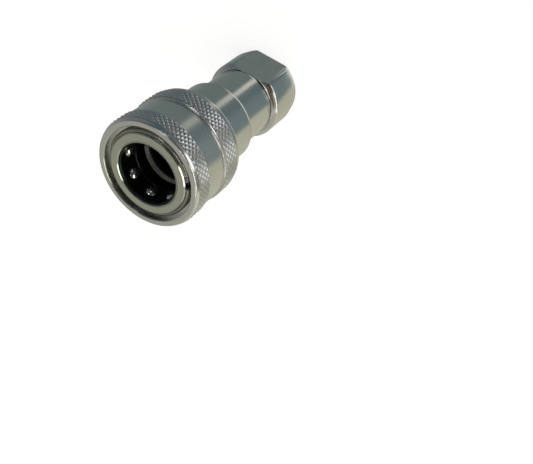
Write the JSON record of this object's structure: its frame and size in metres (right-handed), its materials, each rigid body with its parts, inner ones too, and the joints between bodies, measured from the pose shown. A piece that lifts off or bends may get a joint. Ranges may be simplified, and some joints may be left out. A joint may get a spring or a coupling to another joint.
{
  "type": "hydraulic quick coupler",
  "caption": "Female half of a poppet-type hydraulic quick coupler: collar with threaded port and wrench flats, turned body, knurled sliding sleeve and locking balls round its mouth.",
  "frame": {"origin": "centre of the flat end face of the rear collar, round the threaded port; the coupler stands on this face", "axes": "+Z along the coupler's axis, out of its mouth; +X lies 53 degrees from the normal of a wrench flat and 7.5 degrees from a locking ball"},
  "size_m": [0.0362, 0.0362, 0.0695],
  "materials": {
    "plated_steel": "bright zinc-nickel plated, turned",
    "dark_steel": "dark, oiled",
    "spring_steel": "bright wire",
    "polished_steel": "polished ball",
    "black_rubber": "satin",
    "white_plastic": "satin"
  },
  "bodies": {
    "coupler_body": {"adapter": "plated_steel", "adapter_seal": "black_rubber", "body": "plated_steel", "backup_ring": "white_plastic", "interface_o_ring": "black_rubber", "valve_guide": "dark_steel", "valve_spring": "spring_steel", "sleeve_retaining_ring": "spring_steel"},
    "turning_spring": {"sleeve_spring": "spring_steel"},
    "sliding_sleeve": {"sleeve": "plated_steel"},
    "poppet_valve": {"poppet": "dark_steel", "poppet_seal": "black_rubber"},
    "ball_1": {"locking_ball_1": "polished_steel"},
    "ball_2": {"locking_ball_2": "polished_steel"},
    "ball_3": {"locking_ball_3": "polished_steel"},
    "ball_4": {"locking_ball_4": "polished_steel"},
    "ball_5": {"locking_ball_5": "polished_steel"},
    "ball_6": {"locking_ball_6": "polished_steel"},
    "ball_7": {"locking_ball_7": "polished_steel"},
    "ball_8": {"locking_ball_8": "polished_steel"}
  },
  "joints": [
    {"name": "sleeve_turn", "type": "hinge", "parent": "coupler_body", "child": "turning_spring", "pos_m": [0, 0, 0.0545], "axis": [0, 0, 1], "continuous": true},
    {"name": "sleeve_slide", "type": "slide", "parent": "turning_spring", "child": "sliding_sleeve", "axis": [0, 0, -1], "range_m": [0, 0.0055], "stiffness_N_per_m": 4000, "springref_m": -0.003, "deforming": ["sleeve_spring"]},
    {"name": "poppet_slide", "type": "slide", "parent": "coupler_body", "child": "poppet_valve", "axis": [0, 0, -1], "range_m": [0, 0.0045], "stiffness_N_per_m": 3000, "springref_m": -0.003, "deforming": ["valve_spring"]},
    {"name": "ball_1_slide", "type": "slide", "parent": "coupler_body", "child": "ball_1", "axis": [0.9914, -0.1305, 0], "range_m": [0, 0.00106]},
    {"name": "ball_2_slide", "type": "slide", "parent": "coupler_body", "child": "ball_2", "axis": [0.7934, 0.6088, 0], "range_m": [0, 0.00106]},
    {"name": "ball_3_slide", "type": "slide", "parent": "coupler_body", "child": "ball_3", "axis": [0.1305, 0.9914, 0], "range_m": [0, 0.00106]},
    {"name": "ball_4_slide", "type": "slide", "parent": "coupler_body", "child": "ball_4", "axis": [-0.6088, 0.7934, 0], "range_m": [0, 0.00106]},
    {"name": "ball_5_slide", "type": "slide", "parent": "coupler_body", "child": "ball_5", "axis": [-0.9914, 0.1305, 0], "range_m": [0, 0.00106]},
    {"name": "ball_6_slide", "type": "slide", "parent": "coupler_body", "child": "ball_6", "axis": [-0.7934, -0.6088, 0], "range_m": [0, 0.00106]},
    {"name": "ball_7_slide", "type": "slide", "parent": "coupler_body", "child": "ball_7", "axis": [-0.1305, -0.9914, 0], "range_m": [0, 0.00106]},
    {"name": "ball_8_slide", "type": "slide", "parent": "coupler_body", "child": "ball_8", "axis": [0.6088, -0.7934, 0], "range_m": [0, 0.00106]}
  ],
  "couplings": [
    {"joint": "ball_1_slide", "follows": "sleeve_slide", "ratio": 0.19091},
    {"joint": "ball_2_slide", "follows": "sleeve_slide", "ratio": 0.19091},
    {"joint": "ball_3_slide", "follows": "sleeve_slide", "ratio": 0.19091},
    {"joint": "ball_4_slide", "follows": "sleeve_slide", "ratio": 0.19091},
    {"joint": "ball_5_slide", "follows": "sleeve_slide", "ratio": 0.19091},
    {"joint": "ball_6_slide", "follows": "sleeve_slide", "ratio": 0.19091},
    {"joint": "ball_7_slide", "follows": "sleeve_slide", "ratio": 0.19091},
    {"joint": "ball_8_slide", "follows": "sleeve_slide", "ratio": 0.19091}
  ]
}
